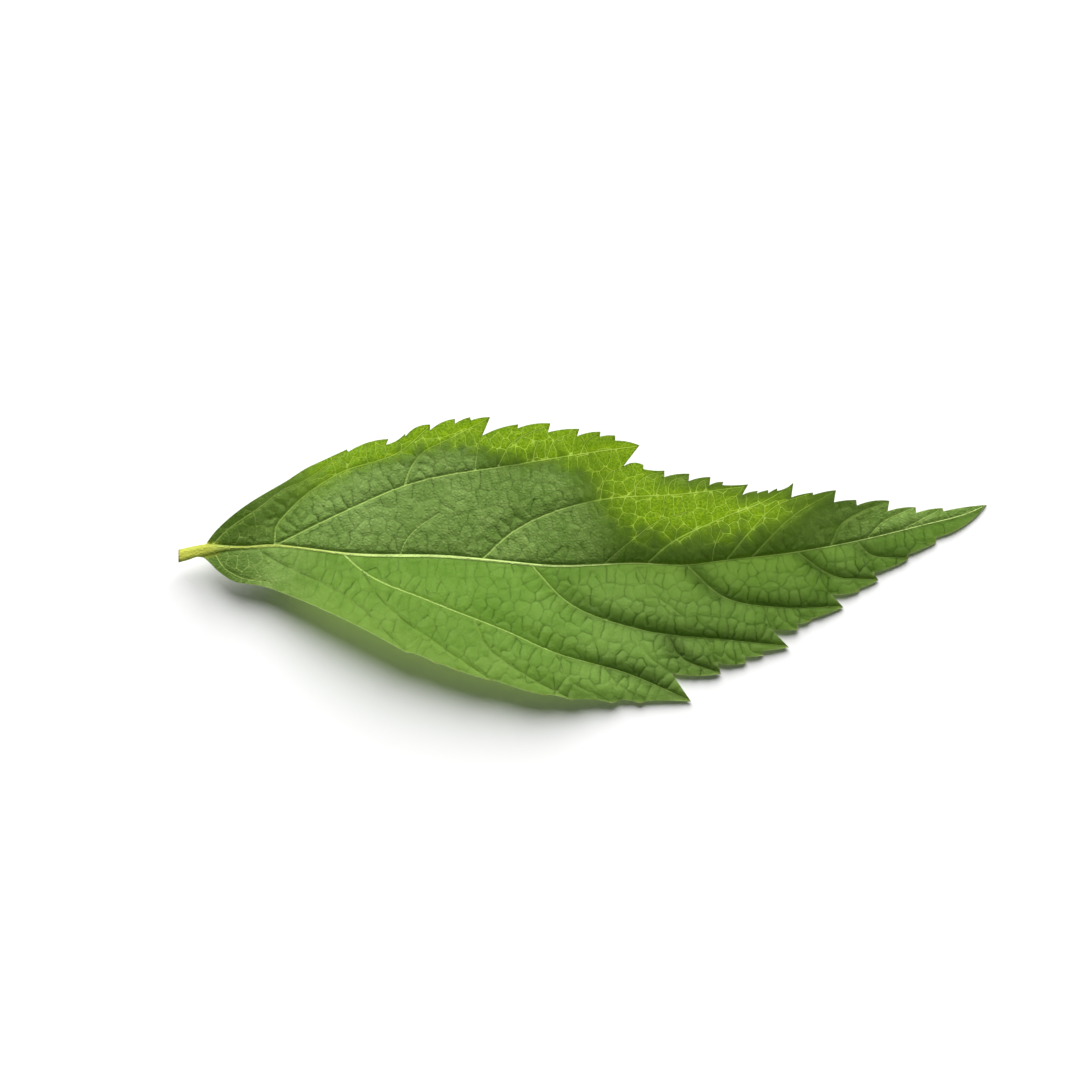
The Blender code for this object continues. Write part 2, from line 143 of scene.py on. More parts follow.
# The midrib and the side veins
# Tough pale strands that grew with the blade and carry it: one midrib from the stalk to the tip,
# arching side veins that run out into the large teeth, and thinner branches into the small ones.
MIDRIB = [(0, 0), (1.3, 0.35), (3.4, 0.8), (8.8, 1.1), (11.9, 1.3), (15.0, 1.0), (20.6, 0.3), (33.8, -0.1),
          (41.3, -0.8), (45.6, -1.2), (57.5, -0.9), (63.4, -1.1), (67.5, -0.6), (77.5, 0.6), (84.6, 1.9),
          (92.5, 3.8), (98.8, 5.5), (100.8, 6.4)]
VEINS_ABOVE = [
    [(11.9, 1.4), (12.1, 3.6), (14.0, 6.0), (19.5, 10.1), (27.9, 13.3), (31.0, 16.0)],
    [(12.0, 1.4), (20.6, 5.6), (28.1, 8.8), (42.5, 11.5), (50.0, 12.7), (57.0, 13.6)],
    [(28.1, 8.9), (28.8, 10.9), (29.9, 12.5), (33.8, 14.7), (38.3, 17.0)],
    [(37.9, -0.3), (41.3, 2.8), (47.5, 5.8), (52.5, 7.0), (62.5, 7.7), (70.3, 8.6)],
    [(58.6, -0.7), (60.6, 1.1), (67.3, 4.6), (73.8, 7.3), (76.0, 8.7)],
    [(68.4, -0.3), (71.0, 2.9), (74.4, 6.3), (78.4, 7.7)],
    [(71.5, 0.0), (76.9, 5.3), (81.4, 7.9)],
    [(81.3, 1.4), (82.5, 3.9), (84.5, 5.3), (88.2, 6.7)],
]
VEINS_BELOW = [
    [(9.8, 0.8), (12.5, -0.8), (18.8, -3.8), (21.5, -5.5), (28.0, -11.6)],
    [(20.6, 0.1), (22.8, -1.8), (31.3, -5.6), (41.4, -9.6), (46.0, -11.7), (56.6, -14.9), (63.4, -17.9)],
    [(22.8, -1.9), (24.8, -4.9), (33.1, -11.5), (38.5, -15.1)],
    [(36.8, -8.1), (38.4, -11.1), (42.5, -14.4), (48.4, -17.6)],
    [(44.1, -1.3), (48.3, -5.6), (56.9, -9.0), (68.8, -10.5), (75.6, -11.2)],
    [(61.0, -9.9), (62.3, -12.3), (67.1, -14.5)],
    [(63.4, -1.2), (67.8, -5.0), (75.0, -6.4), (82.4, -6.3)],
    [(77.1, 0.5), (81.8, -2.5), (86.8, -2.9)],
    [(84.6, 1.8), (86.0, 0.4), (90.5, -0.3)],
]
BRANCHES_ABOVE = [
    [(4.3, 1.5), (5.8, 3.0), (10.0, 6.0), (13.1, 8.3), (15.6, 9.4), (20.6, 13.0)],
    [(36.9, 10.9), (37.1, 12.6), (37.5, 14.7)],
    [(39.8, 11.3), (41.5, 14.1), (43.8, 15.4), (45.9, 16.2)],
    [(44.1, 11.9), (44.4, 13.3), (44.9, 14.5)],
    [(45.9, 12.3), (46.6, 14.1), (49.3, 15.5)],
    [(50.0, 12.8), (51.0, 14.5), (52.1, 15.1)],
    [(27.6, 0.3), (28.1, 1.6), (29.4, 3.2), (32.4, 5.3)],
    [(52.5, 7.0), (52.9, 9.1), (53.6, 10.3), (55.1, 11.0)],
    [(56.8, 7.5), (56.9, 8.6), (58.4, 10.0), (60.1, 10.4)],
    [(59.4, 7.6), (60.0, 9.6)],
    [(60.9, 7.6), (61.1, 9.0), (63.1, 10.0)],
    [(64.3, 7.9), (64.6, 8.9), (65.7, 9.6)],
    [(53.1, -0.9), (56.5, 2.0), (59.6, 4.3), (63.5, 5.6)],
    [(66.5, -0.6), (66.6, 0.5), (67.5, 3.3)],
    [(86.0, 2.4), (87.5, 4.0), (91.3, 5.9)],
    [(90.6, 3.5), (94.8, 5.7)],
]
BRANCHES_BELOW = [
    [(4.4, 0.5), (5.6, -1.4), (7.5, -2.6), (11.3, -3.3)],
    [(46.4, -11.9), (47.5, -13.1), (47.9, -14.4), (53.6, -18.0)],
    [(53.1, -13.8), (53.8, -14.9), (57.2, -18.0)],
    [(65.6, -10.4), (66.3, -12.0), (66.9, -13.2)],
    [(67.5, -10.5), (68.8, -12.8), (70.5, -13.2)],
    [(69.8, -10.6), (70.3, -12.2)],
    [(71.0, -10.6), (71.4, -11.8), (72.7, -12.3)],
    [(56.6, -9.1), (58.5, -12.4), (61.2, -14.5)],
    [(57.1, -1.3), (59.0, -4.3), (63.0, -7.6)],
    [(72.9, -6.4), (73.8, -8.9)],
    [(74.6, -6.4), (74.9, -7.5), (77.0, -9.0)],
    [(76.5, -6.4), (76.8, -7.3), (78.5, -8.0)],
    [(78.6, -6.4), (79.0, -7.6)],
    [(79.9, -1.9), (80.3, -3.3), (81.3, -4.6)],
    [(84.1, -2.9), (84.8, -4.2)],
    [(85.3, 0.6), (85.5, -0.8), (86.5, -2.0)],
    [(90.6, 3.3), (92.3, 1.9), (94.3, 1.8)],
    [(93.5, 3.8), (94.4, 2.6)],
]
# How pale each side vein is against the blade: those below lie in dark creases
PALENESS_ABOVE = [0.9, 0.95, 0.75, 0.85, 0.8, 0.7, 0.6, 0.5]
PALENESS_BELOW = [0.1, 0.75, 0.1, 0.25, 0.6, 0.25, 0.5, 0.4, 0.4]
RIB_HALF_WIDTH = [(0, 0.78), (3.4, 0.7), (6, 0.36), (12, 0.2), (20, 0.19), (30, 0.21), (45, 0.18), (52, 0.13),
                  (60, 0.1), (101, 0.08)]
MARK_STEP = 0.05

rib = smooth_path(MIDRIB, MESH_STEP)
rib_across = np.gradient(rib, axis=0) @ np.array([[0, 1], [-1, 0]])
rib_across /= np.hypot(*rib_across.T)[:, None]
rib_inside = (rib[:, 0] > 0.2) & (rib[:, 0] < 100.2)
shoulder = along(RIB_HALF_WIDTH, rib[:, 0])[:, None] * rib_across
rib_lines = [rib[rib_inside]]
for side in (-1, 1):
    rib_lines.append((rib + side * shoulder)[(rib[:, 0] > 4.5) & (rib[:, 0] < 97)])
side_veins = [smooth_path(vein, MESH_STEP) for vein in VEINS_ABOVE + VEINS_BELOW]
branches = [smooth_path(vein, MESH_STEP) for vein in BRANCHES_ABOVE + BRANCHES_BELOW]


def marked(lines):
    """Closely spaced points along lines, the way each one heads, and how far along its line it lies."""
    paths = [smooth_path(line, MARK_STEP) for line in lines]
    runs = np.vstack([np.gradient(path, axis=0) for path in paths])
    shares = [np.linspace(0, 1, len(path)) for path in paths]
    return np.vstack(paths), runs / np.hypot(*runs.T)[:, None], np.concatenate(shares)


def nearest(points, targets):
    """Distance from each point to the nearest target, and which target that is, in the plan."""
    tree = kdtree.KDTree(len(targets))
    for i, (x, y) in enumerate(targets.tolist()):
        tree.insert((x, y, 0), i)
    tree.balance()
    found = [tree.find((x, y, 0))[1:] for x, y in points.tolist()]
    index, distance = np.array(found).T
    return distance, index.astype(int)


def inside(points, loop):
    """Which points lie inside a closed loop."""
    hits = np.zeros(len(points), int)
    x, y = points.T
    for (ax, ay), (bx, by) in zip(loop, np.roll(loop, -1, axis=0)):
        if ay != by:
            hits += ((ay > y) != (by > y)) & (x < ax + (y - ay) * (bx - ax) / (by - ay))
    return hits % 2 == 1


rib_marks, rib_runs, _ = marked([MIDRIB])
vein_marks, vein_runs, vein_share = marked(VEINS_ABOVE + VEINS_BELOW)
branch_marks, _, branch_share = marked(BRANCHES_ABOVE + BRANCHES_BELOW)
starts = np.cumsum(vein_share == 0) - 1
vein_paleness = np.array(PALENESS_ABOVE + PALENESS_BELOW)[starts]


# The net of small veins
# Rungs leave every side vein at right angles about a millimetre apart and join into a mesh of
# small cells. They hold the blade down in creases, and the blade puffs up inside each cell.
CELL_SIZE = 1.4
# Two rows of cells line each vein: how far out, how far apart, and how close two middles may come
CELL_ROWS = [(1.45, 1.25, 0.95), (3.7, CELL_SIZE, 1.1)]
ROW_JITTER = 0.3
# Between the rows the cells stand in a shaken lattice
LATTICE_ROW = 1.1
LATTICE_JITTER = 0.4
LATTICE_CLOSEST = 1.02
FILL_LENGTH = 102
FILL_HALF_WIDTH = 20
CLEAR_OF_VEINS = 0.35
SHORTEST_WALL = 0.1
LONGEST_WALL = 6
WANDER = 0.24
WANDER_RATE = 1.3
# Walls that cross a vein's direction this much, and lie this near to it, are its rungs
RUNG_CROSSING = 0.75
RUNG_REACH = 3.0
rng = np.random.default_rng(7)
noise.seed_set(7)


def ease(value, start, end):
    """Goes from 0 where the value is at start to 1 where it is at end."""
    return np.clip((value - start) / (end - start), 0, 1)


def rows_beside(path, out, spacing):
    """The middles of a row of cells on either side of a vein."""
    points = smooth_path(path, spacing)
    run = np.gradient(points, axis=0)
    run /= np.hypot(*run.T)[:, None]
    across = run @ np.array([[0, 1], [-1, 0]])
    for side in (-1, 1):
        shift = rng.uniform(-ROW_JITTER, ROW_JITTER, (len(points), 2))
        yield points + (side * out + shift[:, :1]) * across + (0.5 * spacing + shift[:, 1:]) * run


candidates = []
all_veins = [MIDRIB] + VEINS_ABOVE + VEINS_BELOW
for out, spacing, closest in CELL_ROWS:
    for vein in all_veins:
        for row in rows_beside(vein, out, spacing):
            candidates += [(x, y, closest) for x, y in row]
lattice_y, lattice_x = np.mgrid[-FILL_HALF_WIDTH:FILL_HALF_WIDTH:LATTICE_ROW, 0:FILL_LENGTH:CELL_SIZE]
lattice = np.c_[lattice_x.ravel(), lattice_y.ravel()]
lattice += rng.uniform(-LATTICE_JITTER, LATTICE_JITTER, lattice.shape)
candidates += [(x, y, LATTICE_CLOSEST) for x, y in lattice]
candidates = np.array(candidates)
candidates = candidates[inside(candidates[:, :2], margin)]
from_veins = nearest(candidates[:, :2], np.vstack([rib_marks, vein_marks]))[0]
candidates = candidates[from_veins > CLEAR_OF_VEINS]
centres = np.zeros((0, 2))
for x, y, closest in candidates:
    if not len(centres) or np.hypot(centres[:, 0] - x, centres[:, 1] - y).min() > closest:
        centres = np.vstack([centres, (x, y)])


def cell_walls(centres):
    """The walls between neighbouring cells, as pairs of end points."""
    flat, _, faces, *_ = delaunay_2d_cdt([Vector(p) for p in centres], [], [], 0, 1e-7)
    a, b, c = (np.array([flat[face[k]] for face in faces]) for k in range(3))
    ab, ac = b - a, c - a
    twice = 2 * (ab[:, 0] * ac[:, 1] - ab[:, 1] * ac[:, 0])
    ab2, ac2 = (ab**2).sum(axis=1), (ac**2).sum(axis=1)
    corner = a + np.c_[ac[:, 1] * ab2 - ab[:, 1] * ac2, ab[:, 0] * ac2 - ac[:, 0] * ab2] / twice[:, None]
    by_edge = {}
    for number, face in enumerate(faces):
        for k in range(3):
            by_edge.setdefault(frozenset((face[k], face[(k + 1) % 3])), []).append(number)
    return [(corner[pair[0]], corner[pair[1]]) for pair in by_edge.values() if len(pair) == 2]


def wander(points):
    """Shift points by a slow random drift, so that the small veins waver as grown ones do."""
    drift = [noise.noise_vector((x, y, 3.0)) for x, y in (points * WANDER_RATE).tolist()]
    return points + WANDER * np.array(drift)[:, :2]


net_lines = []
for start, end in cell_walls(centres):
    length = np.hypot(*(end - start))
    if SHORTEST_WALL < length < LONGEST_WALL:
        count = max(2, round(length / MARK_STEP))
        net_lines.append(start + np.linspace(0, 1, count + 1)[:, None] * (end - start))
walls = np.cumsum([0] + [len(line) for line in net_lines])
wall_middles = np.array([(line[0] + line[-1]) / 2 for line in net_lines])
wall_runs = np.array([(line[-1] - line[0]) / np.hypot(*(line[-1] - line[0])) for line in net_lines])
wall_to_strand, strand_at = nearest(wall_middles, np.vstack([rib_marks, vein_marks]))
strand_runs = np.vstack([rib_runs, vein_runs])[strand_at]
strand_sides = wall_middles - np.vstack([rib_marks, vein_marks])[strand_at]
crossing = np.abs(wall_runs[:, 0] * strand_runs[:, 1] - wall_runs[:, 1] * strand_runs[:, 0])
is_rung = (crossing > RUNG_CROSSING) & (wall_to_strand < RUNG_REACH)
# Rungs hold the blade down most, and some walls hardly at all
wall_depth = np.where(is_rung, 1.0, 0.75) * rng.uniform(0.4, 1, len(net_lines))
# Near the stalk the lower half is stretched nearly smooth, with rungs only above its veins
below_rib = wall_middles[:, 1] - along(MIDRIB, wall_middles[:, 0]) < 0
calm = below_rib * ease(wall_middles[:, 0], 43, 36)
calm *= np.where(is_rung & (strand_sides[:, 1] > 0), 0.0, 0.5)
wall_depth *= 1 - calm
net_depth = np.repeat(wall_depth, np.diff(walls))
net_marks = wander(np.vstack(net_lines))
net_lines = [net_marks[i:j] for i, j in zip(walls[:-1], walls[1:])]
in_blade = inside(net_marks, margin)
net_marks, net_depth = net_marks[in_blade], net_depth[in_blade]


# The form of the leaf
# The two halves rise from the midrib as a shallow trough: the upper one turns steeply up past a
# bend, the lower one lifts only near the stalk. Between its side veins the blade stands up in puffs.
MIDRIB_HEIGHT = [(0, 5.2), (3.4, 4.6), (12, 2.9), (20, 1.7), (28, 1.0), (36, 1.1), (55, 1.9), (65, 2.1),
                 (80, 1.6), (92, 0.9), (101, 0.4)]
# Slope next to the midrib, slope beyond the bend, and how far the bend lies from the midrib
INNER_SLOPE_ABOVE = [(0, 0.2), (5, 0.45), (10, 0.3), (15, 0.1), (25, 0.06), (38, 0.08), (45, 0.12),
                     (50, 0.2), (53, 0.4), (57, 0.7), (62, 0.82), (68, 0.85), (73, 0.75), (78, 0.5),
                     (84, 0.25), (101, 0.0)]
OUTER_SLOPE_ABOVE = [(0, 0.2), (5, 0.5), (10, 0.5), (15, 0.6), (25, 0.66), (45, 0.78), (50, 0.88),
                     (56, 0.92), (62, 1.0), (68, 1.0), (73, 0.85), (78, 0.55), (84, 0.3), (101, 0.0)]
BEND_ABOVE = [(0, 3), (12, 3), (14, 4.9), (19.5, 9.4), (27, 12.4), (33, 13.2), (37, 13.2), (40, 12.2),
              (44, 12.5), (48, 12.6), (50, 12.0), (52, 9.3), (54, 5.0), (56, 2.8), (60, 1.8),
              (66, 1.5), (101, 1.5)]
# Towards the tip the upper half's curves run aslant with the side veins, this much for each mm out
SLANT_ABOVE = [(0, 0), (55, 0), (62, 0.4), (70, 0.9), (78, 1.0), (101, 1.0)]
PUFF_ABOVE = [(0, 0), (10, 0.2), (30, 0.4), (70, 0.5), (85, 0.4), (101, 0)]
INNER_SLOPE_BELOW = [(0, 0.1), (5, 0.0), (10, 0.15), (15, 0.33), (20, 0.42), (27, 0.36), (32, 0.29),
                     (37, 0.22), (42, 0.15), (47, 0.07), (52, -0.02), (57, -0.09), (63, -0.13),
                     (75, -0.14), (86, -0.17), (101, -0.1)]
OUTER_SLOPE_BELOW = [(0, -0.3), (5, -0.3), (10, 0.1), (15, 0.45), (20, 0.56), (27, 0.42), (32, 0.31),
                     (37, 0.23), (42, 0.16), (47, 0.07), (52, -0.03), (57, -0.1), (63, -0.13),
                     (75, -0.14), (86, -0.17), (101, -0.1)]
BEND_BELOW = [(0, 2), (101, 2)]
BEND_SOFTNESS = 0.5
PUFF_BELOW = [(0, 0), (10, 0.15), (35, 0.35), (46, 1.0), (58, 1.25), (75, 1.2), (88, 0.6), (101, 0)]
# A puff drops this fast to the vein below it, climbs this slowly from the one above, and ends at the margin
DROP_REACH = 1.2
CLIMB_REACH = 3.2
MARGIN_REACH = 1.2
PUFF_SHARPNESS = 1.4
# The leaf stands on a spot under the midrib, on its largest lower tooth and on its tip
REST_SPOT = (29.3, 0.05)
REST_TOOTH = (63.9, -18.2)
TIP = (100.8, 6.4)
REST_REACH = 1.3
strand_marks = np.vstack([rib] + side_veins)


def by_side(along_x, offset, above, below):
    """Read one curve over the upper half of the leaf and another over the lower half."""
    return np.where(offset > 0, along(above, along_x), along(below, along_x))


def slanted(x, offset):
    """Where along the leaf a point's curves are read."""
    return x - np.interp(x, *np.array(SLANT_ABOVE).T) * np.maximum(offset, 0)


def vein_distances(points):
    """Distance from each point to the nearest strand on its lower side, and on its upper side."""
    lower_side, upper_side = np.full(len(points), 99.0), np.full(len(points), 99.0)
    for mark_x, mark_y in strand_marks.tolist():
        away = np.hypot(points[:, 0] - mark_x, points[:, 1] - mark_y)
        is_under = points[:, 1] >= mark_y
        lower_side = np.where(is_under, np.minimum(lower_side, away), lower_side)
        upper_side = np.where(is_under, upper_side, np.minimum(upper_side, away))
    return lower_side, upper_side


def swell(distance, reach):
    """Rises from 0 at no distance to 1 well past the reach."""
    return 1 - np.exp(-((distance / reach) ** PUFF_SHARPNESS))


def middle_height(points):
    """Height of the blade's middle layer over the plan, before the small cells puff it."""
    x, y = points.T
    offset = y - along(MIDRIB, x)
    read_at = slanted(x, offset)
    inner = by_side(read_at, offset, INNER_SLOPE_ABOVE, INNER_SLOPE_BELOW)
    outer = by_side(read_at, offset, OUTER_SLOPE_ABOVE, OUTER_SLOPE_BELOW)
    bend = by_side(read_at, offset, BEND_ABOVE, BEND_BELOW)
    past, at_rib = (BEND_SOFTNESS * np.logaddexp(0, (d - bend) / BEND_SOFTNESS) for d in (np.abs(offset), 0))
    rise = inner * np.abs(offset) + (outer - inner) * (past - at_rib)
    lower_side, upper_side = vein_distances(points)
    puff = by_side(x, offset, PUFF_ABOVE, PUFF_BELOW) * swell(lower_side, DROP_REACH)
    puff *= swell(upper_side, CLIMB_REACH) * swell(nearest(points, margin)[0], MARGIN_REACH)
    return along(MIDRIB_HEIGHT, x) + rise + puff


# The blade's mesh
# One thin living sheet, about a quarter of a millimetre thick, that swells into the midrib and the
# round stalk. Its facets follow the margin, every vein and every crease of the net.
BLADE_THICKNESS = 0.28
QUILT_ABOVE = [(0, 0.1), (8, 0.18), (30, 0.16), (50, 0.16), (62, 0.2), (85, 0.2), (101, 0.05)]
QUILT_BELOW = [(0, 0.1), (8, 0.14), (14, 0.14), (32, 0.16), (42, 0.18), (52, 0.24), (80, 0.24), (101, 0.05)]
CREASE_REACH = 0.32
CREASE_SHARPNESS = 1.3
RUMPLE = 0.08
RUMPLE_RATE = 0.75
RIB_ON_TOP = [(0, 0.6), (3.4, 0.55), (8, 0.25), (20, 0.16), (45, 0.12), (56, 0.0), (101, 0.0)]
RIB_BELOW = [(0, 0.6), (3.4, 0.6), (12, 0.5), (45, 0.42), (75, 0.25), (101, 0.04)]
VEIN_BELOW = 0.2
VEIN_HALF_WIDTH = 0.115
BRANCH_HALF_WIDTH = 0.08
# How near to its neighbours a point may lie: along the veins, along the net, and between them
VEIN_GAP = 0.5 * MESH_STEP
NET_GAP = 0.55 * MESH_STEP
FILL_GAP = 0.62 * MESH_STEP
# Painted light: how much paler the blade is painted in places along each half, to lighten where it lies in
# shade
PAINTED_LIGHT_ABOVE = [(0, 0), (8, 0), (14, 0.25), (22, 0.3), (32, 0.1), (45, 0.0), (101, 0)]
PAINTED_LIGHT_BELOW = [(0, 0), (34, 0), (40, 0.15), (48, 0.25), (55, 0.6), (62, 0.45), (70, 0.2), (101, 0)]
# The blade is shaded where it dips to a vein of the lower half, and in the upper half's fold
FLANK_REACH = 1.4
FOLD_REACH = 2.4
# Beyond its bend the upper half is thin young tissue: how far before the bend it starts, over
# which width it thins, and how unevenly
YOUNG_LEAD = [(0, 0.8), (14, 0.8), (19, 1.7), (27, 1.7), (36, 0.8), (44, 1.4), (54, 1.8), (62, 0.8),
              (101, 0.8)]
YOUNG_SPREAD = [(0, 2.4), (36, 3.0), (46, 4.4), (56, 5.0), (101, 4.6)]
YOUNG_BLUR = 3.0
YOUNG_UNEVEN = 1.8
DARK_TEETH = 0.55
NET_IN_SHADE = 0.4


fixed = [margin] + rib_lines
line_edges = [(i, (i + 1) % len(margin)) for i in range(len(margin))]
for line in side_veins + branches:
    kept = line[inside(line, margin) & (nearest(line, np.vstack(fixed))[0] > VEIN_GAP)]
    fixed.append(kept)
net_points = np.vstack([line[:: round(MESH_STEP / MARK_STEP)] for line in net_lines])
net_points = net_points[inside(net_points, margin)]
net_points = net_points[nearest(net_points, np.vstack(fixed))[0] > NET_GAP]
fixed.append(net_points)
rows = np.arange(-FILL_HALF_WIDTH / MESH_STEP, FILL_HALF_WIDTH / MESH_STEP)
columns = np.arange(0, FILL_LENGTH / MESH_STEP)
row, column = np.meshgrid(rows, columns, indexing="ij")
fill = np.c_[((column + 0.5 * (np.arange(len(rows))[:, None] % 2)) * MESH_STEP).ravel(),
             (row * MESH_STEP * math.sqrt(0.75)).ravel()]
fill = fill[inside(fill, margin)]
fill = fill[nearest(fill, np.vstack(fixed))[0] > FILL_GAP]
spots = [Vector(p) for p in np.vstack(fixed + [fill])]
plan, _, triangles, *_ = delaunay_2d_cdt(spots, line_edges, [], 1, 1e-7)
plan = np.array([tuple(p) for p in plan])
triangles = np.array(triangles)
a, b, c = (plan[triangles[:, k]] for k in range(3))
turned = (b - a)[:, 0] * (c - a)[:, 1] < (b - a)[:, 1] * (c - a)[:, 0]
triangles[turned] = triangles[turned][:, ::-1]

# How far each point lies from the strands, the net and the margin
x = plan[:, 0]
to_rib = nearest(plan, rib_marks)[0]
to_vein, vein_at = nearest(plan, vein_marks)
to_branch, branch_at = nearest(plan, branch_marks)
to_net, net_at = nearest(plan, net_marks)
to_margin = nearest(plan, margin)[0]
tips = np.array([tooth[2:4] for tooth in TEETH_ABOVE + TEETH_BELOW])
to_tooth_tip = nearest(plan, tips)[0]
offset = plan[:, 1] - along(MIDRIB, x)
middle = middle_height(plan)

# Where the middle layer is steep, the same thickness is a longer way straight up
sheet = np.c_[plan, middle]
a, b, c = (sheet[triangles[:, k]] for k in range(3))
normals = np.zeros((len(plan), 3))
for k in range(3):
    np.add.at(normals, triangles[:, k], np.cross(b - a, c - a))
stretch = np.linalg.norm(normals, axis=1) / normals[:, 2]

# The two faces: puffed between the creases of the net, thick at the midrib and the stalk
rib_width = along(RIB_HALF_WIDTH, x)
rounding = np.sqrt(np.maximum(0, 1 - (to_rib / rib_width) ** 2))
on_stalk = ease(x, 5.5, 3.5) * np.where(x < 3.2, 1, ease(to_rib, 1.15, 0.8))
near_vein = np.exp(-((vein_distances(plan)[0] / FLANK_REACH) ** 2))
quilt = by_side(x, offset, QUILT_ABOVE, QUILT_BELOW) * (1 + near_vein) * (1 - on_stalk)
from_strand = np.minimum.reduce([to_vein, to_branch, np.maximum(to_rib - rib_width, 0)])
crease = np.maximum(net_depth[net_at] * np.exp(-((to_net / CREASE_REACH) ** CREASE_SHARPNESS)),
                    np.exp(-((from_strand / CREASE_REACH) ** CREASE_SHARPNESS)))
rumple = np.array([noise.noise((*point, 8.0)) for point in (plan * RUMPLE_RATE).tolist()])
quilted = quilt * (1 - crease) + RUMPLE * rumple * ease(quilt, 0, 0.1)
half = BLADE_THICKNESS / 2 * stretch
vein_ridge = VEIN_BELOW * np.maximum(0, 1 - (to_vein / (2 * VEIN_HALF_WIDTH)) ** 2)
upper = middle + quilted + half + along(RIB_ON_TOP, x) * rounding
lower = middle + quilted - half - np.maximum(along(RIB_BELOW, x) * rounding, vein_ridge)

# The leaf settles until it stands on its three supports
supports = np.array([REST_SPOT, REST_TOOTH, TIP])
lowest = [lower[np.hypot(*(plan - support).T) < REST_REACH].min() for support in supports]
tilt = np.linalg.solve(np.c_[supports, np.ones(3)], lowest)
under = np.c_[plan, np.ones(len(plan))] @ tilt
upper, lower = upper - under, np.maximum(lower - under, 0)

box_low, box_high = (np.array(corner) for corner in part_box("leaf"))
shift = (box_low + box_high)[:2] / 2 / MM - (plan.min(axis=0) + plan.max(axis=0)) / 2
count = len(plan)
corners = np.vstack([np.c_[plan + shift, upper], np.c_[plan + shift, lower]]) * MM
directed = {(f[k], f[(k + 1) % 3]) for f in triangles.tolist() for k in range(3)}
rim = sorted(edge for edge in directed if edge[::-1] not in directed)
faces = triangles.tolist() + (triangles[:, ::-1] + count).tolist()
for i, j in rim:
    faces += [(i, i + count, j + count), (i, j + count, j)]
mesh = bpy.data.meshes.new("leaf_blade")
mesh.from_pydata(corners.tolist(), [], faces)
mesh.shade_smooth()
mesh.set_sharp_from_angle(angle=math.radians(50))


def store(name, values):
    """Keep one number for each point of the plan on the mesh, the same on both faces."""
    attribute = mesh.attributes.new(name, "FLOAT", "POINT")
    attribute.data.foreach_set("value", np.r_[values, values].astype(np.float32))


store("rib", to_rib / rib_width)
# Each vein thins from its start to its end
from_vein = to_vein - VEIN_HALF_WIDTH * (1.1 - 0.5 * vein_share[vein_at])
from_branch = to_branch - BRANCH_HALF_WIDTH * (1.1 - 0.4 * branch_share[branch_at])
store("strand", np.minimum(from_vein, from_branch))
branch_paleness = np.where((offset > 0) | (x < 12), 0.75, 0.15)
store("paleness", np.where(from_vein < from_branch, vein_paleness[vein_at], branch_paleness))
store("net", to_net)
store("net_depth", net_depth[net_at])
store("margin", to_margin)
store("tooth_tip", to_tooth_tip)
store("stalk", on_stalk)
store("quilt", quilt)
# Shade: beside the veins of the lower right, and in the fold above the midrib
fold = np.exp(-((offset / FOLD_REACH) ** 2)) * ease(x, 53, 57) * ease(x, 80, 75)
store("flank", np.where(offset < 0, near_vein * ease(x, 46, 54), 1.5 * fold))
# Young tissue fills the upper half beyond its bend, less at the small teeth, and the whole lower half
read_at = slanted(x, offset)
spread = np.interp(x, *np.array(YOUNG_SPREAD).T)
lead = np.interp(x, *np.array(YOUNG_LEAD).T) + YOUNG_UNEVEN * rumple
young = np.mean([ease(offset - along(BEND_ABOVE, read_at + blur) + lead, 0, spread)
                 for blur in np.linspace(-YOUNG_BLUR, YOUNG_BLUR, 5)], axis=0)
young *= ease(read_at, 77, 68)
near_margin = np.exp(-((to_margin / FLANK_REACH) ** 2))
young *= 1 - DARK_TEETH * near_margin * ease(x, 57, 61) * ease(x, 82, 76)
past_base = ease(x, 10, 18)
# The net shows pale in the young tissue, and less so where the upper half is turned from the light
turned_away = ease(offset, 0.4, 2) * np.maximum(ease(x, 46, 58) * ease(x, 92, 84), ease(x, 20, 12))
netted = np.where(offset > 0, ease(young, 0, 0.6), 0) * past_base
store("netted", np.maximum(netted, NET_IN_SHADE * turned_away))
store("young", np.where(offset > 0, young, 1) * past_base)
store("length", x)
# Painted light: where the blade's colour is made paler
store("pale", by_side(x, offset, PAINTED_LIGHT_ABOVE, PAINTED_LIGHT_BELOW) * ease(np.abs(offset), 0, 5))

leaf = bpy.data.objects.new("leaf_blade", mesh)
bpy.context.scene.collection.objects.link(leaf)


# The finish of the leaf
# Fresh green tissue under a thin dull wax: pale strands, a darker mottled blade with fine cells,
# and enough thinness that light from behind turns it yellow green.
BLADE_GREEN = (0.31, 0.465, 0.122, 1)
DEEP_GREEN = (0.165, 0.295, 0.052, 1)
PAINTED_LIGHT_GREEN = (0.52, 0.74, 0.24, 1)
# Painted shade: the colour of the blade's shaded flanks, fold and base
SHADED_GREEN = (0.08, 0.15, 0.025, 1)
# Painted shade: the colour laid in the creases of the net and the grooves beside the veins
CREASE_SHADE_GREEN = (0.02, 0.05, 0.005, 1)
VEIN_GREEN = (0.47, 0.66, 0.17, 1)
RIB_GREEN = (0.66, 0.84, 0.28, 1)
STALK_GREEN = (0.57, 0.59, 0.09, 1)
RIB_YELLOW = (0.48, 0.54, 0.09, 1)
EDGE_GREEN = (0.36, 0.42, 0.17, 1)
TOOTH_BROWN = (0.30, 0.20, 0.09, 1)
BACKLIT_GREEN = (0.82, 0.97, 0.15, 1)
BACKLIT_FLECK = (0.40, 0.60, 0.02, 1)
BACKLIT_VEIN = (0.87, 0.99, 0.45, 1)
BACKLIT_THICK = (0.34, 0.48, 0.09, 1)
BACKLIT_DARK = (0.32, 0.50, 0.04, 1)
